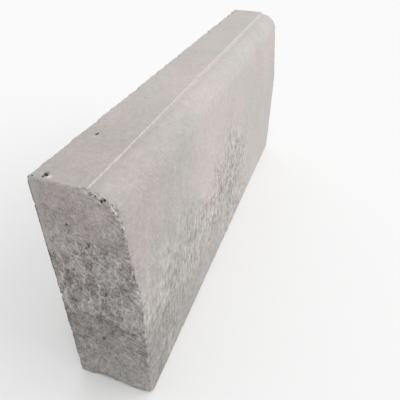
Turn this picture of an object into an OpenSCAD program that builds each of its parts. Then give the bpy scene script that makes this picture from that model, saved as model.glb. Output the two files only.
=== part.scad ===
// Road kerb stone, pressed in one piece from concrete.
// The length runs along X. The road face looks to -Y and the back face to +Y.
// The origin is the middle of the bed, and Z points up.

/* [Overall] */
// Length of the stone, from end face to end face
kerb_length = 1000; // [300:50:1200]
// Height from the bed to the top strip
kerb_height = 450; // [370:5:550]
// Width of the stone at its bed
base_width = 150; // [130:1:200]

/* [Road face] */
// Height of the upright lower part of the road face
upright_height = 250; // [120:5:300]
// Width that the leaning upper part would reach at the top, with no rounded edge
top_width = 130; // [100:1:130]

/* [Top edge] */
// Radius of the rounded edge between the road face and the top
edge_radius = 45; // [10:1:60]
// Step from the rounded edge up to the flat top strip
strip_step = 5; // [1:0.5:8]

/* [Hidden] */

concrete_grey = [0.73, 0.70, 0.68];
arc_facets = 128;

back_y = base_width / 2;
road_y = -base_width / 2;

// Angle by which the upper road face leans back from upright
lean = atan((base_width - top_width) / (kerb_height - upright_height));

// Centre of the rounded edge: it touches the leaning face on one side and
// is level where it meets the foot of the step on the other.
arc_z = kerb_height - strip_step - edge_radius;
arc_y = road_y + (arc_z - upright_height) * tan(lean) + edge_radius / cos(lean);

// Point at which the leaning face runs into the rounded edge
touch_y = arc_y - edge_radius * cos(lean);
touch_z = arc_z + edge_radius * sin(lean);

// Cross-section, with Y across and Z up
module section() {
    polygon([
        [back_y, 0],
        [back_y, kerb_height],
        [arc_y, kerb_height],
        [arc_y, arc_z],
        [touch_y, touch_z],
        [road_y, upright_height],
        [road_y, 0]
    ]);
    translate([arc_y, arc_z])
        circle(r = edge_radius, $fn = arc_facets);
}

module kerb_stone() {
    color(concrete_grey)
        rotate([90, 0, 90])
            linear_extrude(height = kerb_length, center = true)
                section();
}

kerb_stone();
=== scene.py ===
"""Concrete kerb stone: the worn stone with its concrete, and a pale studio to show it in.

The overall size and the cross-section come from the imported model. This file adds what the
construction leaves plain: worn and broken arrises, air holes, drag marks, grain and colour.
Lengths are in metres. X runs along the stone, the road face looks to -Y, and Z points up.
"""

import math
import random
from collections import namedtuple

import bmesh
import bpy
import numpy as np
from bpy.props import FloatProperty, FloatVectorProperty, IntProperty, PointerProperty
from mathutils import Matrix, Vector, noise


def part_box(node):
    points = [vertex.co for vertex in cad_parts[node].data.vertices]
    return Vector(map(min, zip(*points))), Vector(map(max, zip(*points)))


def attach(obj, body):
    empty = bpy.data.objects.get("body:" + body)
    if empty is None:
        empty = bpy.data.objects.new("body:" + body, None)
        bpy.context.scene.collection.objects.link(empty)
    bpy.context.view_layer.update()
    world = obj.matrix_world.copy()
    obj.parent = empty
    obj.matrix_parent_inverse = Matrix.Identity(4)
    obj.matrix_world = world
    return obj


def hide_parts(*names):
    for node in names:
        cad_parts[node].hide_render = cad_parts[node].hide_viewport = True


bl_info = {
    "name": "Concrete Kerb Stone",
    "version": (1, 0, 0),
    "blender": (4, 5, 0),
    "location": "3D View > Sidebar > Kerb",
    "description": "Builds a worn concrete kerb stone and a pale studio around it",
    "category": "Add Mesh",
}

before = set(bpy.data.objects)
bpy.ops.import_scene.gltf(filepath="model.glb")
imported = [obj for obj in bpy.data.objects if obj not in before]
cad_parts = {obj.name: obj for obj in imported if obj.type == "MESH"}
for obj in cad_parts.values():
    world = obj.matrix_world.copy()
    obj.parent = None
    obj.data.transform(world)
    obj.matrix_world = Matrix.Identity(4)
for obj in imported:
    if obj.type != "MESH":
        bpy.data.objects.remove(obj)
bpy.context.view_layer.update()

STONE = "kerb_stone"
ROAD_SIDE = np.array((0.0, -1.0, 0.0))
BACK_SIDE = np.array((0.0, 1.0, 0.0))
UP = np.array((0.0, 0.0, 1.0))
DOWN = -UP
NEAR = np.array((-1.0, 0.0, 0.0))
FAR = -NEAR

ARC_DENSITY = 0.6  # mesh spacing round the rounded edge, as a share of the cross step
RISER_ROWS = 4  # rows of points up the low step along the top
SAME_LEVEL = 1e-5  # heights and depths this close are the same
BACK_MARGIN = 0.001  # points of the section this near the back belong to the back
ON_FACE = 5e-5  # a point this near a face lies on it
NO_SIDE = 1.0  # depth given to a point that a side doesn't cover
TINY = 1e-6
CUT_BAND = 0.004  # width of the band along every arris where the mesh is cut finer
NEAR_CUT_BAND = (0.010, 0.014)  # the wider band by the near end: its width and its reach from the end
SECOND_CUT_BAND = (0.0035, 0.006)  # the same for the second cut
HOLE_CUT = 0.007  # the second cut reaches this far round an air hole
# Shares of a chip's or a hole's radius: size of the lumps in its outline, how far they move it, and its reach
CHIP_LUMP, CHIP_RAGGED, CHIP_REACH = 0.7, 0.30, 1.3
HOLE_LUMP, HOLE_RAGGED, HOLE_REACH = 1.1, 0.5, 1.5
CHIP_SHIFT, HOLE_SHIFT = 90, 300  # give every chip and hole lumps of its own
SMALL_CHIP_RADIUS = (0.003, 0.0075)
SMALL_CHIP_DEPTH = (0.35, 0.6)  # as a share of its radius
BREAK_START, BREAK_DEPTH = 0.8, 1.2  # of a dark break, under the rounded edge, as shares of its radius
HIGHLIGHT_RIM = (1.2, 0.6)  # where a painted highlight starts and is full, as shares of its radius
FOLD = math.radians(100)  # neighbouring faces that turn by more than this are folded
EASE_ROUNDS, EASE_FACTOR = 24, 0.8  # how often and how far folded spots are smoothed
# Where wear grows from none to full: heights over the bed, and distances from the back
BACK_TEAR_HEIGHTS = (0.33, 0.24)
ROAD_NIBBLE_HEIGHTS = (0.20, 0.28)
ARC_NIBBLE_HEIGHTS = (0.38, 0.42)
TOP_NIBBLE_DEPTHS = (0.060, 0.085)
TORN_TOP, TORN_FOOT = (0.36, 0.30), (0.14, 0.19)
DRAG_HEIGHTS = (0.29, 0.18)
STEP_SWAY_REACH = 0.012  # how far from the step its sway can be felt
TIDE_HEIGHT = 0.172  # of the pale line across the ends, with the darker foot under it
FULL_WEAR = 0.003  # a move this long counts as fully worn
FULL_CHIP = 0.0015  # a chip this deep counts as fully chipped
ROAD_GAP_REACH = 0.1  # distance from the road side that counts as 1
KEY_FROM = (0.30, -0.85, 0.43)  # the way to the soft light on the road side
TOP_FROM = (-0.30, -0.15, 0.94)  # the way to the soft light above the near end
SENSOR_WIDTH = 36.0  # of the camera, in millimetres
CLIP_START = 0.01  # the camera sees nothing nearer than this

Section = namedtuple("Section", "near far road back bed top bend seam foot lean radius")
Chip = namedtuple("Chip", "edge along radius depth")
Hole = namedtuple("Hole", "place face radius depth")


# ---------------------------------------------------------------- settings


class KerbShapeSettings(bpy.types.PropertyGroup):
    """Mesh density and wear of the stone"""

    fine_step: FloatProperty(
        name="Fine Step", description="Mesh spacing at the arrises, before they are cut finer",
        default=0.0030, min=0.001, max=0.01, subtype="DISTANCE", unit="LENGTH", precision=4)
    long_step: FloatProperty(
        name="Long Step", description="Mesh spacing along the middle of the length",
        default=0.0070, min=0.002, max=0.02, subtype="DISTANCE", unit="LENGTH", precision=4)
    cross_step: FloatProperty(
        name="Cross Step", description="Mesh spacing in the middle of the height and the width",
        default=0.0050, min=0.002, max=0.02, subtype="DISTANCE", unit="LENGTH", precision=4)
    fine_reach: FloatProperty(
        name="Fine Reach", description="How far in from an arris the mesh grows to its wide spacing",
        default=0.030, min=0.01, max=0.2, subtype="DISTANCE", unit="LENGTH", precision=3)
    edge_round: FloatProperty(
        name="Edge Rounding", description="Width rubbed off every arris",
        default=0.0018, min=0.0, max=0.01, subtype="DISTANCE", unit="LENGTH", precision=4)
    edge_ragged: FloatProperty(
        name="Ragged Edge", description="Extra width broken off the ragged arrises",
        default=0.0042, min=0.0, max=0.02, subtype="DISTANCE", unit="LENGTH", precision=4)
    bed_loss: FloatProperty(
        name="Bed Loss", description="Width broken off the end arrises at the bed",
        default=0.0015, min=0.0, max=0.03, subtype="DISTANCE", unit="LENGTH", precision=4)
    relief: FloatProperty(
        name="Relief", description="Depth of the hollows that the mould left in the faces",
        default=0.0007, min=0.0, max=0.003, subtype="DISTANCE", unit="LENGTH", precision=4)
    step_sway: FloatProperty(
        name="Step Sway", description="How far the step along the top wanders from a straight line",
        default=0.0008, min=0.0, max=0.003, subtype="DISTANCE", unit="LENGTH", precision=4)
    seed: IntProperty(
        name="Seed", description="Picks the pattern of the small random chips", default=7, min=0)


class KerbConcreteSettings(bpy.types.PropertyGroup):
    """Colours and grain of the concrete"""

    warm_colour: FloatVectorProperty(
        name="Warm Grey", description="Pinkish grey of the cement skin",
        default=(0.458, 0.414, 0.402), min=0.0, max=1.0, size=3, subtype="COLOR")
    cool_colour: FloatVectorProperty(
        name="Cool Grey", description="Greenish grey of the cement skin",
        default=(0.431, 0.412, 0.391), min=0.0, max=1.0, size=3, subtype="COLOR")
    # Darker torn skin and drag marks, and also the painted shade in the small pits and the deep chips
    mark_colour: FloatVectorProperty(
        name="Drag Mark", description="Darker grey of the torn skin and drag marks",
        default=(0.222, 0.200, 0.188), min=0.0, max=1.0, size=3, subtype="COLOR")
    # Painted shadow inside the air holes and the deep breaks
    hole_colour: FloatVectorProperty(
        name="Air Hole", description="Dark grey inside the air holes",
        default=(0.055, 0.050, 0.046), min=0.0, max=1.0, size=3, subtype="COLOR")
    # Pale rubbed arrises, and also the painted highlight along the step, on some chips and on lit spots of
    # the near end
    rub_colour: FloatVectorProperty(
        name="Rubbed Edge", description="Pale grey of the rubbed step and arrises",
        default=(0.600, 0.575, 0.552), min=0.0, max=1.0, size=3, subtype="COLOR")
    patch_size: FloatProperty(
        name="Patch Size", description="Width of the warm and cool patches",
        default=0.10, min=0.01, max=1.0, subtype="DISTANCE", unit="LENGTH", precision=3)
    grain_size: FloatProperty(
        name="Grain Size", description="Width of the sand grains that show",
        default=0.0035, min=0.0005, max=0.02, subtype="DISTANCE", unit="LENGTH", precision=4)
    roughness: FloatProperty(
        name="Roughness", description="Roughness of the dry concrete",
        default=0.92, min=0.0, max=1.0, subtype="FACTOR")


class KerbStudioSettings(bpy.types.PropertyGroup):
    """Floor, light and camera"""

    floor_size: FloatProperty(
        name="Floor Size", description="Side of the square floor",
        default=60.0, min=5.0, max=200.0, subtype="DISTANCE", unit="LENGTH")
    floor_colour: FloatVectorProperty(
        name="Floor Colour", description="Colour of the floor",
        default=(0.77, 0.77, 0.77), min=0.0, max=1.0, size=3, subtype="COLOR")
    key_strength: FloatProperty(
        name="Key Strength", description="Strength of the soft light from the road side",
        default=1.10, min=0.0, max=20.0)
    key_softness: FloatProperty(
        name="Key Softness", description="Angle that the soft light covers in the sky",
        default=math.radians(60), min=0.0, max=math.radians(120), subtype="ANGLE", unit="ROTATION")
    top_strength: FloatProperty(
        name="Top Strength", description="Strength of the soft light from above the near end",
        default=0.90, min=0.0, max=20.0)
    top_softness: FloatProperty(
        name="Top Softness", description="Angle that the light from above covers in the sky",
        default=math.radians(25), min=0.0, max=math.radians(120), subtype="ANGLE", unit="ROTATION")
    fill_strength: FloatProperty(
        name="Fill Strength", description="Strength of the light from all round",
        default=0.75, min=0.0, max=5.0)
    fill_slope: FloatProperty(
        name="Fill Slope", description="How much brighter the far end of the sky is than the near end",
        default=0.50, min=0.0, max=2.0)
    fill_lean: FloatProperty(
        name="Fill Lean", description="How much brighter the road side of the sky is than the back",
        default=0.15, min=0.0, max=2.0)
    fill_rise: FloatProperty(
        name="Fill Rise", description="How much brighter the top of the sky is than its rim",
        default=0.10, min=0.0, max=2.0)
    camera_place: FloatVectorProperty(
        name="Camera Place", description="Where the camera stands, from the middle of the bed",
        default=(-0.845, -0.2834, 0.7477), size=3, subtype="TRANSLATION", unit="LENGTH", precision=4)
    camera_heading: FloatProperty(
        name="Heading", description="Turn of the view from the length towards the back",
        default=math.radians(19.05), subtype="ANGLE", unit="ROTATION")
    camera_dip: FloatProperty(
        name="Dip", description="Angle that the camera looks down",
        default=math.radians(36.92), subtype="ANGLE", unit="ROTATION")
    camera_roll: FloatProperty(
        name="Roll", description="Tilt of the camera about its own view",
        default=math.radians(0.64), subtype="ANGLE", unit="ROTATION")
    camera_lens: FloatProperty(
        name="Lens", description="Focal length on a sensor 36 mm wide, in millimetres",
        default=37.2, min=10.0, max=200.0)


# ---------------------------------------------------------------- section and mesh


def read_section():
    """The cross-section of the stone, measured on its plain solid."""
    low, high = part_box(STONE)
    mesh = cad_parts[STONE].data
    near_outline = {
        (v.co.z, v.co.y) for v in mesh.vertices if v.co.x < 0 and v.co.y < high.y - BACK_MARGIN}
    outline = np.array(sorted(near_outline))
    heights, depths = outline[:, 0], outline[:, 1]
    bend = heights[depths < low.y + SAME_LEVEL].max()
    touch_z, touch_y = outline[heights > bend + SAME_LEVEL][0]
    seam = depths[heights > high.z - SAME_LEVEL].min()
    foot = heights[heights < high.z - SAME_LEVEL].max()
    lean = math.atan2(touch_y - low.y, touch_z - bend)
    radius = (foot - touch_z) / (1 - math.sin(lean))
    return Section(low.x, high.x, low.y, high.y, low.z, high.z, bend, seam, foot, lean, radius)


def graded(length, fine, coarse, reach):
    """Stops from 0 to length, close together at both ends and wider apart between them."""
    stops = [0.0]
    while stops[-1] < length / 2:
        share = min(stops[-1] / reach, 1.0)
        stops.append(stops[-1] + fine + (coarse - fine) * share)
    half = np.array(stops) * (length / 2 / stops[-1])
    return np.concatenate([half, length - half[-2::-1]])


def graded_from_start(length, fine, coarse, reach):
    """Stops from 0 to length, close together at the start only."""
    stops = graded(2 * length, fine, coarse, reach)
    return stops[:len(stops) // 2 + 1]


def road_rows(s, shape):
    """Heights and road-side depths of the mesh rows, from the bed up to the top strip."""
    foot_z = s.foot - s.radius
    touch_z = foot_z + s.radius * math.sin(s.lean)
    upright = graded_from_start(s.bend - s.bed, shape.fine_step, shape.cross_step, shape.fine_reach)
    leaning = np.linspace(s.bend, touch_z, round((touch_z - s.bend) / shape.cross_step))[1:]
    turn = math.pi / 2 - s.lean
    steps = round(s.radius * turn / (shape.cross_step * ARC_DENSITY))
    angles = s.lean + turn * np.arange(1, steps + 1) / steps
    riser = np.linspace(s.foot, s.top, RISER_ROWS)[1:]
    heights = np.concatenate([upright, leaning, foot_z + s.radius * np.sin(angles), riser])
    depths = np.concatenate([
        np.full(len(upright), s.road),
        s.road + (leaning - s.bend) * math.tan(s.lean),
        s.seam - s.radius * np.cos(angles),
        np.full(len(riser), s.seam)])
    return heights, depths


def side_quads(numbers, outward):
    """Quads over a 2-D array of vertex numbers, turned over if outward is False."""
    corners = [numbers[:-1, :-1], numbers[1:, :-1], numbers[1:, 1:], numbers[:-1, 1:]]
    quads = np.stack([c.ravel() for c in corners], axis=1)
    return quads if outward else quads[:, ::-1]


def closed_grid(s, shape):
    """Points and quads of the plain stone: a closed box of rows that follow the section."""
    stations = s.near + graded(s.far - s.near, shape.fine_step, shape.long_step, shape.fine_reach)
    heights, depths = road_rows(s, shape)
    width = s.back - s.road
    across = graded(width, shape.fine_step, shape.cross_step, shape.fine_reach) / width
    size = (len(stations), len(heights), len(across))
    skin = np.zeros(size, bool)
    skin[[0, -1]] = True
    skin[:, [0, -1]] = True
    skin[:, :, [0, -1]] = True
    numbers = np.full(size, -1)
    numbers[skin] = np.arange(skin.sum())
    i, r, c = np.nonzero(skin)
    points = np.stack([stations[i], depths[r] + (s.back - depths[r]) * across[c], heights[r]], axis=1)
    quads = np.concatenate([
        side_quads(numbers[0], True), side_quads(numbers[-1], False),
        side_quads(numbers[:, 0], False), side_quads(numbers[:, -1], True),
        side_quads(numbers[:, :, 0], True), side_quads(numbers[:, :, -1], False)])
    return points, quads


# ---------------------------------------------------------------- wear


def lumps(points, size, octaves=2, stretch=(1, 1, 1), shift=0.0):
    """Smooth random heights, about -1 to 1, with lumps about size across."""
    scaled = points / (np.array(stretch) * size) + shift
    return np.array([
        noise.fractal(place, 1.0, 2.0, octaves, noise_basis="PERLIN_ORIGINAL") for place in scaled])


def ramp(values, start, end):
    """0 at start, 1 at end and smooth between."""
    t = np.clip((values - start) / (end - start), 0.0, 1.0)
    return t * t * (3 - 2 * t)


def road_out(angle):
    """The way out of the road side where it leans back by this angle."""
    return np.array((0.0, -math.cos(angle), math.sin(angle)))


class Sides:
    """How deep each point lies under each side of the plain stone, and which way that side looks."""

    def __init__(self, s, points):
        x, y, z = points.T
        lean_out = road_out(s.lean)
        leaning = -((y - s.road) * lean_out[1] + (z - s.bend) * lean_out[2])
        flat = np.minimum(y - s.road, leaning)
        out = np.stack([np.zeros_like(x), y - s.seam, z - (s.foot - s.radius)], axis=1)
        reach = np.linalg.norm(out, axis=1)
        on_arc = (out @ np.array((0, math.sin(s.lean), math.cos(s.lean))) > 0) & (y < s.seam)
        under_strip = y > s.seam - TINY
        road_depth = np.where(on_arc, s.radius - reach, flat)
        ways = np.where(
            on_arc[:, None], out / np.maximum(reach, TINY)[:, None],
            np.where((leaning < y - s.road)[:, None], lean_out, ROAD_SIDE))
        self.near = (x - s.near, NEAR)
        self.far = (s.far - x, FAR)
        self.back = (s.back - y, BACK_SIDE)
        self.bed = (z - s.bed, DOWN)
        self.top = (np.where(under_strip, s.top - z, NO_SIDE), UP)
        self.road = (np.where(under_strip & (z > s.foot - s.radius), NO_SIDE, road_depth), ways)

    def arris_gap(self):
        """Distance along the surface from each point to the nearest arris."""
        depths = [side[0] for side in (self.near, self.far, self.back, self.bed, self.top, self.road)]
        return np.sort(np.abs(np.stack(depths)), axis=0)[:2].sum(axis=0)


def cut_finer(s, mesh):
    """Halves the mesh spacing on the ends and along every arris, then again by the near end and the holes."""
    shape = bmesh.new()
    shape.from_mesh(mesh)
    holes = [hole.place for hole in air_holes(s)]
    for second in (False, True):
        middles = np.array([face.calc_center_median() for face in shape.faces])
        sides = Sides(s, middles)
        gap, from_near = sides.arris_gap(), sides.near[0]
        width, reach = SECOND_CUT_BAND if second else NEAR_CUT_BAND
        chosen = (gap < width) & (from_near < reach)
        if second:
            chosen |= np.min([np.linalg.norm(middles - place, axis=1) for place in holes], axis=0) < HOLE_CUT
        else:
            chosen |= (gap < CUT_BAND) | (np.minimum(from_near, sides.far[0]) < ON_FACE)
        edges = {edge for face, wanted in zip(shape.faces, chosen) if wanted for edge in face.edges}
        edges = sorted(edges, key=lambda edge: edge.index)
        bmesh.ops.subdivide_edges(shape, edges=edges, cuts=1, use_grid_fill=True)
        shape.edges.index_update()
    shape.to_mesh(mesh)
    shape.free()


def break_edge(first, second, width):
    """The move that cuts width off the arris between two sides."""
    inside = np.clip(width - np.abs(first[0]) - np.abs(second[0]), 0.0, None) / 2
    return -inside[:, None] * (first[1] + second[1])


def wear_arrises(s, shape, sides, points):
    """The move of every point as the arrises are rubbed and broken."""
    height = points[:, 2]
    from_back = s.back - points[:, 1]
    fine = 0.5 + 0.5 * lumps(points, 0.005, 2, shift=11.0)
    coarse = 0.5 + 0.5 * lumps(points, 0.018, 3)
    rub = shape.edge_round * (0.6 + 0.8 * fine)
    nibble = shape.edge_ragged * np.clip(2.6 * fine - 0.9, 0.0, None)
    tear = shape.edge_ragged * np.clip(1.6 * coarse - 0.35, 0.0, None) * (0.5 + fine)
    bed_loss = shape.bed_loss * np.clip(1.6 * coarse - 0.2, 0.0, None)
    move = np.zeros_like(points)
    for end in (sides.near, sides.far):
        move += break_edge(end, sides.back, rub + 0.45 * tear * ramp(height, *BACK_TEAR_HEIGHTS))
        move += break_edge(end, sides.road, rub + nibble * (
            0.3 + 0.3 * ramp(height, *ROAD_NIBBLE_HEIGHTS) + 0.6 * ramp(height, *ARC_NIBBLE_HEIGHTS)))
        move += break_edge(end, sides.top, 1.3 * rub + 0.9 * nibble * ramp(from_back, *TOP_NIBBLE_DEPTHS))
        move += break_edge(end, sides.bed, 0.7 * rub + bed_loss + 0.3 * nibble)
    move += break_edge(sides.back, sides.top, rub + tear)
    move += break_edge(sides.back, sides.bed, rub + tear)
    move += break_edge(sides.road, sides.bed, rub + 0.3 * nibble)
    return move


def hollow_faces(s, shape, sides, points):
    """The move of every point into the shallow hollows that the mould left in the faces."""
    x, y, z = points.T
    swell = 0.5 + 0.5 * lumps(points, 0.11, 2, shift=8.0)
    hill = 0.5 + 0.5 * lumps(points, 0.012, 3, shift=3.0)
    drag = 0.5 + 0.5 * lumps(points, 0.006, 2, stretch=(1, 1, 4), shift=5.0)
    torn = ramp(z, *TORN_TOP) * ramp(z, *TORN_FOOT)
    low = ramp(z, *DRAG_HEIGHTS)
    on_near = sides.near[0] < ON_FACE
    on_far = sides.far[0] < ON_FACE
    inside = ~(on_near | on_far)
    ends = 0.4 * swell + 0.8 * hill + 1.4 * torn * drag
    flanks = 0.7 * swell + low * (0.5 * hill + 0.7 * drag)
    depths = (
        (sides.near, on_near, ends),
        (sides.far, on_far, ends),
        (sides.road, inside & (np.abs(sides.road[0]) < ON_FACE), flanks),
        (sides.back, inside & (sides.back[0] < ON_FACE), flanks),
        (sides.top, inside & (sides.top[0] < ON_FACE), 0.8 * swell + 0.3 * hill),
    )
    move = np.zeros_like(points)
    for side, here, depth in depths:
        move -= (shape.relief * np.where(here, depth, 0.0))[:, None] * side[1]
    sway = lumps(np.stack([x, 0 * x, 0 * x], axis=1), 0.05, 3, shift=2.0)
    from_step = np.hypot(y - s.seam, np.maximum(s.foot - z, 0.0))
    by_step = ramp(from_step, STEP_SWAY_REACH, 0.0) * (z > s.foot - 0.002)
    move[:, 1] += shape.step_sway * sway * by_step
    return move


# ---------------------------------------------------------------- chips and holes


# Chips by arris: place along it, radius and depth
CHIPS = {
    # Across the top of the near end, from the back up to the step
    "near_top": (
        (0.004, 0.0050, 0.0018), (0.078, 0.0040, 0.0020), (0.086, 0.0056, 0.0034)),
    # Round the rounded edge at the near end, as a share of its turn
    "near_arc": (
        (0.05, 0.0050, 0.0034), (0.13, 0.0042, 0.0026), (0.22, 0.0038, 0.0024), (0.33, 0.0052, 0.0038),
        (0.46, 0.0040, 0.0024), (0.56, 0.0040, 0.0026), (0.65, 0.0058, 0.0040), (0.80, 0.0036, 0.0020),
        (0.93, 0.0042, 0.0022)),
    # Up the back arris of the near end
    "near_back": (
        (0.004, 0.0060, 0.0022), (0.118, 0.0090, 0.0040), (0.131, 0.0060, 0.0024), (0.216, 0.0100, 0.0044),
        (0.446, 0.0060, 0.0024)),
    # Across the near end at the bed, from the back
    "near_bed": (
        (0.018, 0.0060, 0.0024), (0.040, 0.0110, 0.0086), (0.052, 0.0150, 0.0115), (0.065, 0.0130, 0.0105),
        (0.086, 0.0120, 0.0098), (0.099, 0.0070, 0.0058), (0.112, 0.0050, 0.0020), (0.126, 0.0070, 0.0032),
        (0.139, 0.0100, 0.0060), (0.151, 0.0170, 0.0115)),
    # Along the back arris of the top, from the near end
    "back_top": (
        (0.165, 0.0120, 0.0036), (0.258, 0.0100, 0.0030), (0.330, 0.0160, 0.0030), (0.520, 0.0140, 0.0040),
        (0.600, 0.0160, 0.0060), (0.652, 0.0140, 0.0050), (0.722, 0.0180, 0.0072), (0.752, 0.0120, 0.0056),
        (0.820, 0.0180, 0.0078), (0.846, 0.0130, 0.0060), (0.902, 0.0170, 0.0080), (0.948, 0.0180, 0.0084),
        (0.974, 0.0120, 0.0066), (0.996, 0.0110, 0.0050)),
    # Up the road arris of the far end
    "far_road": ((0.236, 0.0100, 0.0036), (0.312, 0.0120, 0.0050), (0.398, 0.0120, 0.0048)),
}
# Painted highlights on the near end's rounded edge, where chips catch the light: share of the rounded edge's
# turn, and radius
HIGHLIGHTS_ON_ARC = ((-0.02, 0.0028), (0.26, 0.0022), (0.61, 0.0036), (0.71, 0.0020))
# Deep breaks, darkened inside with painted shadow: share of the rounded edge's turn, and radius
DEEP_ON_ARC = ((0.04, 0.0026), (0.17, 0.0017), (0.350, 0.0031), (0.655, 0.0020))


def edge_place(s, edge, along):
    """A point on a named arris and the two ways out of the stone there."""
    if edge == "near_arc":
        out = road_out(math.pi / 2 - along * (math.pi / 2 - s.lean))
        middle = np.array((s.near, s.seam, s.foot - s.radius))
        return middle + s.radius * out, NEAR, out
    if edge in ("near_road", "far_road"):
        end, outward = (s.near, NEAR) if edge == "near_road" else (s.far, FAR)
        lean = s.lean if along > s.bend else 0.0
        depth = s.road + (along - s.bend) * math.tan(lean)
        return np.array((end, depth, s.bed + along)), outward, road_out(lean)
    place, first, second = {
        "near_top": ((s.near, s.back - along, s.top), NEAR, UP),
        "near_back": ((s.near, s.back, s.bed + along), NEAR, BACK_SIDE),
        "far_back": ((s.far, s.back, s.bed + along), FAR, BACK_SIDE),
        "near_bed": ((s.near, s.back - along, s.bed), NEAR, DOWN),
        "back_top": ((s.near + along, s.back, s.top), BACK_SIDE, UP),
        "back_bed": ((s.near + along, s.back, s.bed), BACK_SIDE, DOWN),
        "road_bed": ((s.near + along, s.road, s.bed), ROAD_SIDE, DOWN),
    }[edge]
    return np.array(place), first, second


def small_chips(s, shape):
    """Random small chips along the long arrises and both ends."""
    draw = random.Random(shape.seed)
    length = s.far - s.near
    # Arris, number of chips on it, and its length
    runs = (
        ("back_top", 46, length), ("back_bed", 26, length), ("road_bed", 14, length), ("near_back", 6, s.top),
        ("far_back", 12, s.top), ("near_road", 7, s.bend), ("far_road", 10, s.bend))
    chips = []
    for edge, count, run in runs:
        for _ in range(count):
            radius = draw.uniform(*SMALL_CHIP_RADIUS)
            along = draw.uniform(0.01, 0.99) * run
            chips.append(Chip(edge, along, radius, radius * draw.uniform(*SMALL_CHIP_DEPTH)))
    return chips


def knock_chips(points, chips):
    """Scoops each chip out of its arris. Returns the points and the depth lost at each."""
    lost = np.zeros(len(points))
    for chip, (place, first, second) in chips:
        outward = (first + second) / math.sqrt(2)
        centre = place + outward * (chip.radius - chip.depth)
        away = points - centre
        distance = np.linalg.norm(away, axis=1)
        close = np.nonzero(distance < chip.radius * CHIP_REACH)[0]
        if not len(close):
            continue
        swell = lumps(points[close], chip.radius * CHIP_LUMP, 3, shift=chip.along * CHIP_SHIFT)
        radius = chip.radius * (1 + CHIP_RAGGED * swell)
        push = np.clip(radius - distance[close], 0.0, None)
        points[close] += away[close] / np.maximum(distance[close], TINY)[:, None] * push[:, None]
        lost[close] = np.maximum(lost[close], push)
    return points, lost


def sink_holes(points, holes):
    """Sinks each air hole into its face. Returns the points and how hollow each one is, 0 to 1."""
    hollow = np.zeros(len(points))
    for hole in holes:
        distance = np.linalg.norm(points - hole.place, axis=1)
        close = np.nonzero(distance < hole.radius * HOLE_REACH)[0]
        if not len(close):
            continue
        swell = lumps(points[close], hole.radius * HOLE_LUMP, 2, shift=hole.place[1] * HOLE_SHIFT)
        radius = hole.radius * (1 + HOLE_RAGGED * swell)
        sunk = np.sqrt(np.clip(1 - (distance[close] / radius) ** 2, 0.0, None))
        points[close] -= hole.face * (hole.depth * sunk)[:, None]
        hollow[close] = np.maximum(hollow[close], sunk)
    return points, hollow


def air_holes(s):
    """The larger air holes of the top and the near end, and the dark breaks in its rounded edge."""
    near, back, top = s.near, s.back, s.top
    in_faces = (
        Hole((near + 0.0160, back - 0.0195, top), UP, 0.0034, 0.0070),
        Hole((near + 0.0120, back - 0.0232, top), UP, 0.0026, 0.0050),
        Hole((near + 0.0088, back - 0.0205, top), UP, 0.0022, 0.0034),
        Hole((near + 0.1350, back - 0.0260, top), UP, 0.0030, 0.0020),
        Hole((near + 0.0050, back - 0.0070, top), UP, 0.0016, 0.0012),
        Hole((near, back - 0.0475, 0.381), NEAR, 0.0020, 0.0024),
        Hole((near, back - 0.0690, 0.133), NEAR, 0.0026, 0.0028),
    )
    on_arc = []
    for along, radius in DEEP_ON_ARC:
        place, end, out = edge_place(s, "near_arc", along)
        outward = (end + out) / math.sqrt(2)
        start = place - BREAK_START * radius * outward
        on_arc.append(Hole(tuple(start), outward, radius, BREAK_DEPTH * radius))
    return in_faces + tuple(on_arc)


def highlight_spots(s, points):
    """How strongly each point takes the painted highlight, 0 to 1: lit pale spots on the near end's arris and
    on the lit wall by its top hole.
    """
    spots = [(edge_place(s, "near_arc", along)[0], radius) for along, radius in HIGHLIGHTS_ON_ARC]
    by_top_hole = np.array((s.near + 0.0095, s.back - 0.0300, s.top))
    spots.append((by_top_hole, 0.0034))
    painted_highlight = np.zeros(len(points))
    for place, radius in spots:
        painted_highlight = np.maximum(painted_highlight, ramp(np.linalg.norm(points - place, axis=1) / radius, *HIGHLIGHT_RIM))
    return painted_highlight


def ease_folds(mesh):
    """Smooths the spots where the wear, the chips and the holes together folded the mesh over itself."""
    shape = bmesh.new()
    shape.from_mesh(mesh)
    for _ in range(EASE_ROUNDS):
        shape.normal_update()
        folded = {vert for edge in shape.edges if edge.calc_face_angle(0) > FOLD for vert in edge.verts}
        bmesh.ops.smooth_vert(
            shape, verts=sorted(folded, key=lambda vert: vert.index), factor=EASE_FACTOR,
            use_axis_x=True, use_axis_y=True, use_axis_z=True)
    shape.to_mesh(mesh)
    shape.free()


def add_values(mesh, name, values):
    """Stores one value for every point, for the concrete to read."""
    layer = mesh.attributes.new(name, "FLOAT", "POINT")
    layer.data.foreach_set("value", values.astype(np.float32))


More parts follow.
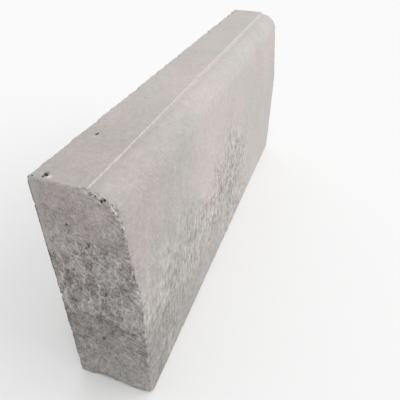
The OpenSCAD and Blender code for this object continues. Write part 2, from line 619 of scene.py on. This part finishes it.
def build_stone_mesh(s, shape):
    """The worn stone as one closed mesh."""
    points, quads = closed_grid(s, shape)
    mesh = bpy.data.meshes.new(STONE + "_worn")
    mesh.from_pydata(points.tolist(), [], quads.tolist())
    cut_finer(s, mesh)
    points = np.empty(3 * len(mesh.vertices), np.float32)
    mesh.vertices.foreach_get("co", points)
    points = points.reshape(-1, 3).astype(float)

    sides = Sides(s, points)
    painted_highlight = highlight_spots(s, points)
    move = wear_arrises(s, shape, sides, points)
    points = points + move + hollow_faces(s, shape, sides, points)
    chips = [Chip(edge, *chip) for edge, row in CHIPS.items() for chip in row] + small_chips(s, shape)
    points, lost = knock_chips(points, [(chip, edge_place(s, chip.edge, chip.along)) for chip in chips])
    points, hollow = sink_holes(points, air_holes(s))
    points = np.clip(points, (s.near, s.road, s.bed), (s.far, s.back, s.top))

    mesh.vertices.foreach_set("co", points.ravel().astype(np.float32))
    ease_folds(mesh)
    mesh.shade_smooth()
    add_values(mesh, "worn", np.clip(np.linalg.norm(move, axis=1) / FULL_WEAR, 0.0, 1.0))
    add_values(mesh, "chipped", np.clip(lost / FULL_CHIP, 0.0, 1.0))
    add_values(mesh, "hollow", hollow)
    add_values(mesh, "painted_highlight", painted_highlight)
    add_values(mesh, "road_gap", np.clip(sides.road[0] / ROAD_GAP_REACH, 0.0, 1.0))
    mesh.update()
    return mesh


# ---------------------------------------------------------------- shader building


class NodeBench:
    """Adds nodes to one tree. A socket is fed with a value or with another node's output."""

    def __init__(self, tree):
        self.tree = tree

    def feed(self, socket, value):
        """Links another node's output to a socket, or sets its value."""
        if isinstance(value, bpy.types.NodeSocket):
            self.tree.links.new(value, socket)
        else:
            socket.default_value = value

    def add(self, kind, sockets=None, **settings):
        """Adds a node with its settings, and feeds its sockets."""
        node = self.tree.nodes.new(kind)
        for name, value in settings.items():
            setattr(node, name, value)
        for name, value in (sockets or {}).items():
            self.feed(node.inputs[name], value)
        return node

    def math(self, operation, first, second=0.0, clamp=False):
        node = self.add("ShaderNodeMath", {0: first, 1: second}, operation=operation, use_clamp=clamp)
        return node.outputs[0]

    def product(self, *factors):
        result = factors[0]
        for factor in factors[1:]:
            result = self.math("MULTIPLY", result, factor)
        return result

    def total(self, *terms):
        """Adds the terms. A tuple stands for the product of its members."""
        terms = [self.product(*term) if isinstance(term, tuple) else term for term in terms]
        result = terms[0]
        for term in terms[1:]:
            result = self.math("ADD", result, term)
        return result

    def rest(self, share):
        """What a share leaves of 1."""
        return self.math("SUBTRACT", 1.0, share)

    def ramp(self, value, start, end, low=0.0, high=1.0):
        """Low at start, high at end and smooth between."""
        node = self.add("ShaderNodeMapRange", {
            "Value": value, "From Min": start, "From Max": end, "To Min": low, "To Max": high,
        }, interpolation_type="SMOOTHSTEP")
        return node.outputs[0]

    def scaled(self, vector, factors):
        node = self.add("ShaderNodeVectorMath", {0: vector, 1: factors}, operation="MULTIPLY")
        return node.outputs[0]

    def shifted(self, vector, offset):
        node = self.add("ShaderNodeVectorMath", {0: vector, 1: offset}, operation="ADD")
        return node.outputs[0]

    def clouds(self, vector, scale, detail=2.0, roughness=0.5, distortion=0.0):
        node = self.add("ShaderNodeTexNoise", {
            "Vector": vector, "Scale": scale, "Detail": detail, "Roughness": roughness,
            "Distortion": distortion})
        return node.outputs[0]

    def centred(self, vector, scale, detail=2.0, roughness=0.5, distortion=0.0):
        """Clouds that swing about zero."""
        return self.math("SUBTRACT", self.clouds(vector, scale, detail, roughness, distortion), 0.5)

    def group(self, group, sockets):
        return self.add("ShaderNodeGroup", sockets, node_tree=group)

    def cells(self, vector, scale):
        """Distance to the middle of the nearest cell, and the colour of that cell."""
        node = self.add("ShaderNodeTexVoronoi", {"Vector": vector, "Scale": scale})
        return node.outputs["Distance"], node.outputs["Color"]

    def mix(self, share, first, second, blend="MIX"):
        node = self.add("ShaderNodeMix", {0: share, 6: first, 7: second}, data_type="RGBA", blend_type=blend)
        return node.outputs[2]

    def paint(self, share, under, paint):
        """Lays a share of one plain colour over what is under it."""
        return self.mix(share, under, paint[:] + (1,))

    def value_of(self, name):
        """A value that the mesh stores for every point."""
        return self.add("ShaderNodeAttribute", attribute_name=name).outputs["Fac"]


def new_group(name, inputs, outputs):
    """A group that takes coordinates and numbers. Returns it, its bench and the sockets at its two ends."""
    group = bpy.data.node_groups.new(name, "ShaderNodeTree")
    group.interface.new_socket("Coordinates", in_out="INPUT", socket_type="NodeSocketVector")
    for title, default in inputs.items():
        socket = group.interface.new_socket(title, in_out="INPUT", socket_type="NodeSocketFloat")
        socket.default_value = default
    for title in outputs:
        group.interface.new_socket(title, in_out="OUTPUT", socket_type="NodeSocketFloat")
    bench = NodeBench(group)
    return group, bench, bench.add("NodeGroupInput").outputs, bench.add("NodeGroupOutput").inputs


def sand_grain_group():
    """Fine light and dark grains of two sizes."""
    group, bench, given, made = new_group("Sand Grain", {"Grain Size": 0.003}, ("Shade", "Height"))
    scale = bench.math("DIVIDE", 0.6, given["Grain Size"])
    coarse = bench.clouds(given["Coordinates"], scale, 2.5, 0.62)
    fine = bench.clouds(given["Coordinates"], bench.product(scale, 2.2), 1.0, 0.5)
    both = bench.total((coarse, 0.5), (fine, 0.5))
    bench.feed(made["Shade"], bench.math("SUBTRACT", both, 0.5))
    bench.feed(made["Height"], both)
    return group


def torn_skin_group():
    """Cells of torn skin, each with its own shade, and the pale web of whole skin between them."""
    group, bench, given, made = new_group("Torn Skin", {"Cell Size": 0.02, "Web Width": 0.1}, ("Cell", "Web"))
    scale = bench.math("DIVIDE", 1.0, given["Cell Size"])
    warp = bench.add("ShaderNodeTexNoise", {
        "Vector": given["Coordinates"], "Scale": bench.product(scale, 1.7), "Detail": 3.0,
    }).outputs["Color"]
    swing = bench.add("ShaderNodeVectorMath", {0: warp, 1: (0.5, 0.5, 0.5)}, operation="SUBTRACT").outputs[0]
    push = bench.add("ShaderNodeVectorMath", {
        0: swing, "Scale": bench.product(given["Cell Size"], 1.1)}, operation="SCALE").outputs[0]
    bent = bench.shifted(given["Coordinates"], push)
    edges = bench.add("ShaderNodeTexVoronoi", {"Vector": bent, "Scale": scale}, feature="DISTANCE_TO_EDGE")
    colour = bench.cells(bent, scale)[1]
    chance = bench.add("ShaderNodeSeparateColor", {0: colour})
    bench.feed(made["Cell"], bench.math("SUBTRACT", chance.outputs[0], 0.5))
    bench.feed(made["Web"], bench.ramp(edges.outputs["Distance"], given["Web Width"], 0.0))
    return group


def fleck_group():
    """Short separate flecks, from the peaks of a cloud."""
    group, bench, given, made = new_group("Flecks", {"Width": 0.006, "Cover": 0.5}, ("Mask",))
    scale = bench.math("DIVIDE", 1.0, given["Width"])
    cloud = bench.clouds(given["Coordinates"], scale, 1.0, 0.5, 0.0)
    edge = bench.ramp(given["Cover"], 0.0, 1.0, 0.80, 0.44)
    above = bench.math("SUBTRACT", cloud, edge)
    bench.feed(made["Mask"], bench.ramp(above, 0.0, 0.10))
    return group


def pit_group():
    """Scattered round pits of mixed size."""
    group, bench, given, made = new_group("Air Pits", {"Spacing": 0.02, "Cover": 0.3}, ("Mask",))
    scale = bench.math("DIVIDE", 1.0, given["Spacing"])
    distance, colour = bench.cells(given["Coordinates"], scale)
    chance = bench.add("ShaderNodeSeparateColor", {0: colour})
    kept = bench.math("LESS_THAN", chance.outputs[0], given["Cover"])
    width = bench.ramp(chance.outputs[1], 0.0, 1.0, 0.05, 0.16)
    inside = bench.math("DIVIDE", distance, width)
    bench.feed(made["Mask"], bench.product(bench.ramp(inside, 1.0, 0.55), kept))
    return group


Zones = namedtuple(
    "Zones", "along height end upward side low rough smooth_foot near_band cool_band warm_end torn foot hem "
    "crown tide back_band back_line road_band near_foot drag step")


def skin_zones(bench, s, place):
    """Masks, 0 to 1, for the parts of the skin that came out of the mould differently."""
    split = bench.add("ShaderNodeSeparateXYZ", {0: place})
    along = bench.math("SUBTRACT", split.outputs["X"], s.near)
    height = split.outputs["Z"]
    from_back = bench.math("SUBTRACT", s.back, split.outputs["Y"])
    from_end = bench.math("MINIMUM", along, bench.math("SUBTRACT", s.far, split.outputs["X"]))
    facing = bench.add("ShaderNodeSeparateXYZ", {0: bench.add("ShaderNodeNewGeometry").outputs["Normal"]})

    # The torn skin of the ends runs over their arrises in short teeth
    upward = bench.ramp(facing.outputs["Z"], 0.6, 0.9)
    teeth = bench.ramp(bench.clouds(bench.scaled(place, (1, 1, 1.6)), 150.0, 1.5), 0.42, 0.68, 0.0, 0.012)
    spill = bench.product(
        bench.ramp(bench.math("SUBTRACT", from_end, teeth), 0.0015, -0.0015),
        bench.rest(upward))
    end = bench.math("MAXIMUM", bench.ramp(bench.math("ABSOLUTE", facing.outputs["X"]), 0.45, 0.8), spill)
    side = bench.product(bench.rest(end), bench.rest(upward))

    # Where the skin tore or dragged as the mould was drawn off, and where it stayed whole below
    wander = bench.total(height, (bench.centred(place, 9.0, 2.0), 0.16))
    whole_foot = bench.product(
        bench.ramp(wander, 0.13, 0.09), bench.ramp(along, 0.10, 0.17), bench.ramp(along, 0.50, 0.40))
    low = bench.product(
        side, bench.ramp(wander, 0.33, 0.23),
        bench.total(1.0, (whole_foot, -0.85)),
        bench.ramp(bench.total(along, (height, 0.3)), 0.80, 0.58))
    road_gap = bench.total(bench.value_of("road_gap"), (bench.centred(place, 40.0, 2.0), 0.2))
    tide_gap = bench.math("ABSOLUTE", bench.math("SUBTRACT", wander, TIDE_HEIGHT))
    past_step = bench.math("SUBTRACT", split.outputs["Y"], s.seam)
    step_gap = bench.math("ABSOLUTE", past_step)
    # The step's riser faces the road and catches the light: a painted highlight along it
    step_highlight_line = bench.product(
        bench.ramp(past_step, 0.0024, 0.0008), bench.ramp(height, s.foot, s.foot + 0.0025))
    step_highlight_haze = bench.product(
        bench.ramp(step_gap, 0.0055, 0.0010), bench.ramp(height, s.foot - 0.003, s.foot),
        bench.ramp(along, 0.10, 0.80, 0.0, 0.60))
    return Zones(
        along, height, end, upward, side, low,
        # On the road face and the back
        smooth_foot=bench.product(side, whole_foot),
        rough=bench.product(low, bench.ramp(along, 0.25, 0.42, 0.85, 1.35)),
        near_band=bench.product(low, bench.ramp(along, 0.22, 0.06), bench.ramp(height, 0.12, 0.20)),
        cool_band=bench.product(side, bench.ramp(along, 0.36, 0.14), bench.ramp(wander, 0.33, 0.27)),
        # On the ends
        warm_end=bench.product(end, bench.ramp(bench.total(wander, (from_back, -0.87)), 0.19, 0.27)),
        torn=bench.product(end, bench.ramp(wander, 0.36, 0.31), bench.ramp(wander, 0.15, 0.19)),
        foot=bench.product(end, bench.ramp(wander, TIDE_HEIGHT + 0.006, TIDE_HEIGHT - 0.006)),
        hem=bench.product(end, bench.ramp(wander, 0.12, 0.04)),
        crown=bench.product(end, bench.ramp(height, 0.37, 0.44)),
        tide=bench.product(end, bench.ramp(tide_gap, 0.0030, 0.0010), bench.ramp(
            bench.clouds(bench.shifted(place, (2, 2, 2)), 30.0, 1.0), 0.40, 0.60)),
        # By the back arris of the ends: a painted highlight, where the rounded edge catches the light, also
        # cooler and smoother
        back_band=bench.product(end, bench.ramp(from_back, 0.015, 0.006), bench.ramp(height, 0.29, 0.34)),
        back_line=bench.product(end, bench.ramp(from_back, 0.0046, 0.0018), bench.ramp(along, 0.005, 0.002)),
        road_band=bench.product(end, bench.ramp(road_gap, 0.40, 0.10)),
        drag=bench.product(
            end, bench.ramp(height, 0.34, 0.29), bench.ramp(height, 0.16, 0.21),
            bench.ramp(from_back, 0.10, 0.03)),
        # All round the near end by the bed, and the painted highlight along the step
        near_foot=bench.product(bench.ramp(along, 0.16, 0.03), bench.ramp(wander, 0.22, 0.08)),
        step=bench.product(bench.math("MAXIMUM", step_highlight_line, step_highlight_haze), bench.ramp(along, 0.003, 0.012)))


def skin_shade(bench, place, zones, grain, skin):
    """How light the skin is, about 1, with the broad, middle and fine variation of each zone, and painted
    shade and a painted highlight.
    """
    end, low, torn = zones.end, zones.low, zones.torn
    not_end = bench.rest(end)
    broad = bench.centred(place, 5.0, 2.0)
    hand = bench.centred(place, 24.0, 2.0)
    wool = bench.centred(bench.scaled(place, (1, 1, 0.8)), 95.0, 3.0, 0.62, 0.6)
    blots = bench.centred(bench.scaled(place, (1, 1, 0.6)), 105.0, 1.5, 0.55)
    turned = bench.add("ShaderNodeVectorRotate", {"Vector": place, "Angle": math.radians(-32)},
                       rotation_type="X_AXIS").outputs[0]
    brush = bench.centred(bench.scaled(turned, (1, 0.25, 1)), 230.0, 1.5, 0.5)
    band = bench.product(zones.road_band, bench.ramp(zones.height, 0.05, 0.12))
    whole_end = bench.product(end, bench.rest(bench.product(zones.back_band, 0.8)))
    return bench.total(
        1.0,
        (broad, 0.17),
        (hand, bench.total(0.11, (end, 0.34), (torn, 0.10), (low, 0.30))),
        (wool, bench.total(
            0.30, (whole_end, 0.45), (torn, 0.55), (zones.foot, 0.35), (zones.crown, -0.40))),
        (blots, bench.total(
            0.05, (zones.rough, 1.15), (zones.near_foot, low, -0.35), (zones.smooth_foot, 0.35))),
        (brush, band),
        (grain, bench.total(
            0.55, (zones.upward, -0.2), (whole_end, 1.3), (torn, 0.5), (zones.crown, -0.6),
            (zones.rough, 0.40))),
        (bench.math("MINIMUM", skin.outputs["Cell"], 0.1), torn, 0.38),
        (skin.outputs["Web"], torn, 0.36),
        (zones.tide, 0.22),
        # Painted shade: off the ends the skin darkens towards the near end, a little more on the sides, where
        # the light falls off
        (bench.ramp(zones.along, 0.34, 0.08), not_end, -0.13),
        (bench.ramp(zones.along, 0.34, 0.08), zones.side, -0.05),
        # Darker ends: partly their own darker skin, partly painted shade, as the ends face away from the
        # light
        (end, -0.09),
        (torn, -0.055),
        (zones.foot, -0.25),
        (zones.hem, 0.17),
        (zones.crown, 0.04),
        (zones.drag, -0.13),
        (zones.road_band, bench.ramp(zones.height, 0.33, 0.20), 0.09),
        # Painted highlight by the back arris of the ends
        (zones.back_band, 0.09),
        (zones.back_line, -0.55),
        (low, -0.04),
        (zones.near_band, 0.11),
        (zones.smooth_foot, -0.11),
        (zones.near_foot, not_end, -0.12))


def concrete_material(s, look):
    """Dry pressed concrete: cloudy smooth skin above, torn and dragged skin below, mottled ends, and painted
    light and shade.
    """
    material = bpy.data.materials.new("kerb_concrete")
    material.use_nodes = True
    material.node_tree.nodes.clear()
    bench = NodeBench(material.node_tree)
    place = bench.add("ShaderNodeTexCoord").outputs["Object"]
    zones = skin_zones(bench, s, place)
    end, low, torn = zones.end, zones.low, zones.torn

    # Warm and cool patches, with the top of the ends warm and their foot cool
    skin = bench.group(torn_skin_group(), {
        "Coordinates": bench.scaled(place, (1.0, 1.0, 0.5)), "Cell Size": 0.021, "Web Width": 0.10})
    drift = bench.ramp(bench.clouds(place, 1.0 / look.patch_size, 1.5), 0.30, 0.66)
    patches = bench.total(
        (drift, bench.total(1.0, (end, -0.65), (zones.near_foot, -0.6))),
        (zones.warm_end, 0.95),
        (zones.cool_band, -0.75),
        (torn, skin.outputs["Cell"], -0.5),
        (zones.back_band, -0.7))
    colour = bench.mix(patches, look.cool_colour[:] + (1,), look.warm_colour[:] + (1,))
    grain = bench.group(sand_grain_group(), {"Coordinates": place, "Grain Size": look.grain_size})
    shade = skin_shade(bench, place, zones, grain.outputs["Shade"], skin)
    colour = bench.mix(1.0, colour, shade, "MULTIPLY")

    # Dark flecks, close together low on the sides and thinly scattered above and on the ends
    thick = bench.clouds(bench.shifted(place, (3, 5, 7)), 24.0, 1.0)
    flecks = bench.group(fleck_group(), {
        "Coordinates": bench.scaled(place, (1.0, 1.0, 0.5)),
        "Width": 0.0065,
        "Cover": bench.total(
            (low, bench.ramp(thick, 0.3, 0.7, 0.40, 0.85)), (zones.near_band, -0.20),
            (end, 0.20), (torn, 0.35))})
    depth_of_mark = bench.ramp(bench.clouds(bench.shifted(place, (9, 1, 4)), 130.0, 1.0), 0.3, 0.7, 0.1, 0.55)
    strength = bench.total(1.0, (low, -1.0), zones.rough)
    fleck = bench.product(flecks.outputs["Mask"], depth_of_mark, strength)
    colour = bench.paint(fleck, colour, look.mark_colour)

    # Small air pits, bumped in and darkened with painted shade, more of them where the skin is torn
    pits = bench.group(pit_group(), {
        "Coordinates": bench.shifted(place, (1, 2, 3)),
        "Spacing": 0.017,
        "Cover": bench.total(0.08, (low, 0.35), (end, 0.09))})
    pit = bench.product(pits.outputs["Mask"], bench.total(1.0, (end, -0.45)))
    colour = bench.paint(bench.product(pit, 0.65), colour, look.mark_colour)

    # Painted highlight along the step, where its riser catches the light, and pale rubbed arrises; then
    # painted light and shade on the chips and in the holes
    broken = bench.ramp(bench.clouds(place, 160.0, 2.0), 0.35, 0.6)
    # Holds both the painted highlight along the step and the pale wear of the arrises
    rubbed = bench.total(
        (zones.step, bench.ramp(broken, 0.0, 1.0, 0.35, 0.75)),
        (bench.value_of("worn"), bench.rest(end), broken, 0.3))
    colour = bench.paint(rubbed, colour, look.rub_colour)
    # Chips get a painted highlight in some places and painted shade where they are deepest
    chipped = bench.value_of("chipped")
    pale = bench.product(bench.ramp(chipped, 0.05, 0.4), bench.ramp(broken, 0.0, 1.0, 0.0, 0.5))
    colour = bench.paint(pale, colour, look.rub_colour)
    dark = bench.product(bench.ramp(chipped, 0.5, 1.0), bench.ramp(broken, 1.0, 0.0, 0.05, 0.5))
    colour = bench.paint(dark, colour, look.mark_colour)
    # Painted shadow inside the air holes and the deep breaks of the rounded edge
    hollow = bench.ramp(bench.value_of("hollow"), 0.1, 0.55)
    colour = bench.paint(hollow, colour, look.hole_colour)
    # Painted highlight on the lit spots of the near end's chips and by its top hole
    colour = bench.paint(bench.value_of("painted_highlight"), colour, look.rub_colour)

    # Relief in millimetres
    relief = bench.total(
        (grain.outputs["Height"], bench.total(0.6, (end, 1.2))),
        (shade, bench.total(0.3, (end, 1.5), (low, 1.5))),
        (fleck, -1.0),
        (pit, -1.0))
    bump = bench.add("ShaderNodeBump", {"Strength": 0.8, "Distance": 0.001, "Height": relief})
    roughness = bench.ramp(grain.outputs["Shade"], -0.2, 0.2, look.roughness - 0.06, look.roughness + 0.05)
    shader = bench.add("ShaderNodeBsdfPrincipled", {
        "Base Color": colour, "Roughness": roughness, "Specular IOR Level": 0.3,
        "Normal": bump.outputs[0]})
    bench.add("ShaderNodeOutputMaterial", {"Surface": shader.outputs[0]})
    return material


# ---------------------------------------------------------------- operators


class KERB_OT_build_stone(bpy.types.Operator):
    """Build the worn stone in place of its plain solid"""

    bl_idname = "kerb.build_stone"
    bl_label = "Build Kerb Stone"

    def execute(self, context):
        section = read_section()
        mesh = build_stone_mesh(section, context.scene.kerb_shape)
        stone = bpy.data.objects.new(STONE + "_worn", mesh)
        context.scene.collection.objects.link(stone)
        mesh.materials.append(concrete_material(section, context.scene.kerb_concrete))
        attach(stone, "root")
        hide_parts(STONE)
        return {"FINISHED"}


class KERB_OT_build_studio(bpy.types.Operator):
    """Build the floor, the light and the camera"""

    bl_idname = "kerb.build_studio"
    bl_label = "Build Studio"

    def execute(self, context):
        studio = context.scene.kerb_studio
        build_floor(context.scene, studio)
        build_light(context.scene, studio)
        build_camera(context.scene, studio)
        return {"FINISHED"}


def build_floor(scene, studio):
    """A wide, plain, pale floor at the level of the bed."""
    half = studio.floor_size / 2
    mesh = bpy.data.meshes.new("studio_floor")
    corners = [(-half, -half, 0), (half, -half, 0), (half, half, 0), (-half, half, 0)]
    mesh.from_pydata(corners, [], [(0, 1, 2, 3)])
    floor = bpy.data.objects.new("studio_floor", mesh)
    scene.collection.objects.link(floor)
    material = bpy.data.materials.new("studio_floor_paint")
    material.use_nodes = True
    shader = material.node_tree.nodes["Principled BSDF"]
    shader.inputs["Base Color"].default_value = studio.floor_colour[:] + (1,)
    shader.inputs["Roughness"].default_value = 1.0
    shader.inputs["Specular IOR Level"].default_value = 0.0
    mesh.materials.append(material)


def build_light(scene, studio):
    """One broad soft light from the road side, one from above, and light from all round."""
    for name, strength, softness, way in (
            ("soft_key", studio.key_strength, studio.key_softness, KEY_FROM),
            ("soft_top", studio.top_strength, studio.top_softness, TOP_FROM)):
        light = bpy.data.lights.new(name, "SUN")
        light.energy = strength
        light.angle = softness
        lamp = bpy.data.objects.new(name, light)
        lamp.rotation_euler = Vector(way).to_track_quat("Z", "Y").to_euler()
        scene.collection.objects.link(lamp)
    world = bpy.data.worlds.new("studio_air")
    world.use_nodes = True
    world.node_tree.nodes.clear()
    bench = NodeBench(world.node_tree)
    way = bench.add("ShaderNodeSeparateXYZ", {0: bench.add("ShaderNodeTexCoord").outputs["Generated"]})
    strength = bench.total(
        studio.fill_strength,
        (way.outputs["X"], studio.fill_slope),
        (way.outputs["Y"], -studio.fill_lean),
        (way.outputs["Z"], studio.fill_rise))
    fill = bench.add("ShaderNodeBackground", {"Color": (1, 1, 1, 1), "Strength": strength})
    seen = bench.add("ShaderNodeBackground", {"Color": (1, 1, 1, 1), "Strength": 1.0})
    eye = bench.add("ShaderNodeLightPath").outputs["Is Camera Ray"]
    both = bench.add("ShaderNodeMixShader", {0: eye, 1: fill.outputs[0], 2: seen.outputs[0]})
    bench.add("ShaderNodeOutputWorld", {"Surface": both.outputs[0]})
    scene.world = world
    scene.view_settings.view_transform = "Standard"


def build_camera(scene, studio):
    """The camera, above the near end and looking down along the stone."""
    lens = bpy.data.cameras.new("camera")
    lens.sensor_width = SENSOR_WIDTH
    lens.lens = studio.camera_lens
    lens.clip_start = CLIP_START
    camera = bpy.data.objects.new("camera", lens)
    quarter = math.pi / 2
    turn = (Matrix.Rotation(studio.camera_heading - quarter, 4, "Z")
            @ Matrix.Rotation(quarter - studio.camera_dip, 4, "X")
            @ Matrix.Rotation(studio.camera_roll, 4, "Z"))
    camera.matrix_world = Matrix.Translation(studio.camera_place) @ turn
    scene.collection.objects.link(camera)
    bpy.context.scene.camera = camera


# ---------------------------------------------------------------- panel and run


class KERB_PT_panel(bpy.types.Panel):
    """The stone's builders and sizes in the sidebar"""

    bl_idname = "KERB_PT_panel"
    bl_label = "Kerb Stone"
    bl_space_type = "VIEW_3D"
    bl_region_type = "UI"
    bl_category = "Kerb"

    def draw(self, context):
        layout = self.layout
        for operator in OPERATORS:
            layout.operator(operator.bl_idname)
        for name in SETTINGS:
            group = getattr(context.scene, name)
            box = layout.box()
            for item in group.bl_rna.properties:
                if item.identifier in group.__annotations__:
                    box.prop(group, item.identifier)


SETTINGS = {
    "kerb_shape": KerbShapeSettings,
    "kerb_concrete": KerbConcreteSettings,
    "kerb_studio": KerbStudioSettings,
}
OPERATORS = (KERB_OT_build_stone, KERB_OT_build_studio)


def register():
    for name, group in SETTINGS.items():
        bpy.utils.register_class(group)
        setattr(bpy.types.Scene, name, PointerProperty(type=group))
    for item in OPERATORS + (KERB_PT_panel,):
        bpy.utils.register_class(item)


def unregister():
    for item in (KERB_PT_panel,) + OPERATORS[::-1]:
        bpy.utils.unregister_class(item)
    for name, group in SETTINGS.items():
        delattr(bpy.types.Scene, name)
        bpy.utils.unregister_class(group)


def main():
    """Build everything."""
    register()
    bpy.ops.kerb.build_stone()
    bpy.ops.kerb.build_studio()


if __name__ == "__main__":
    main()
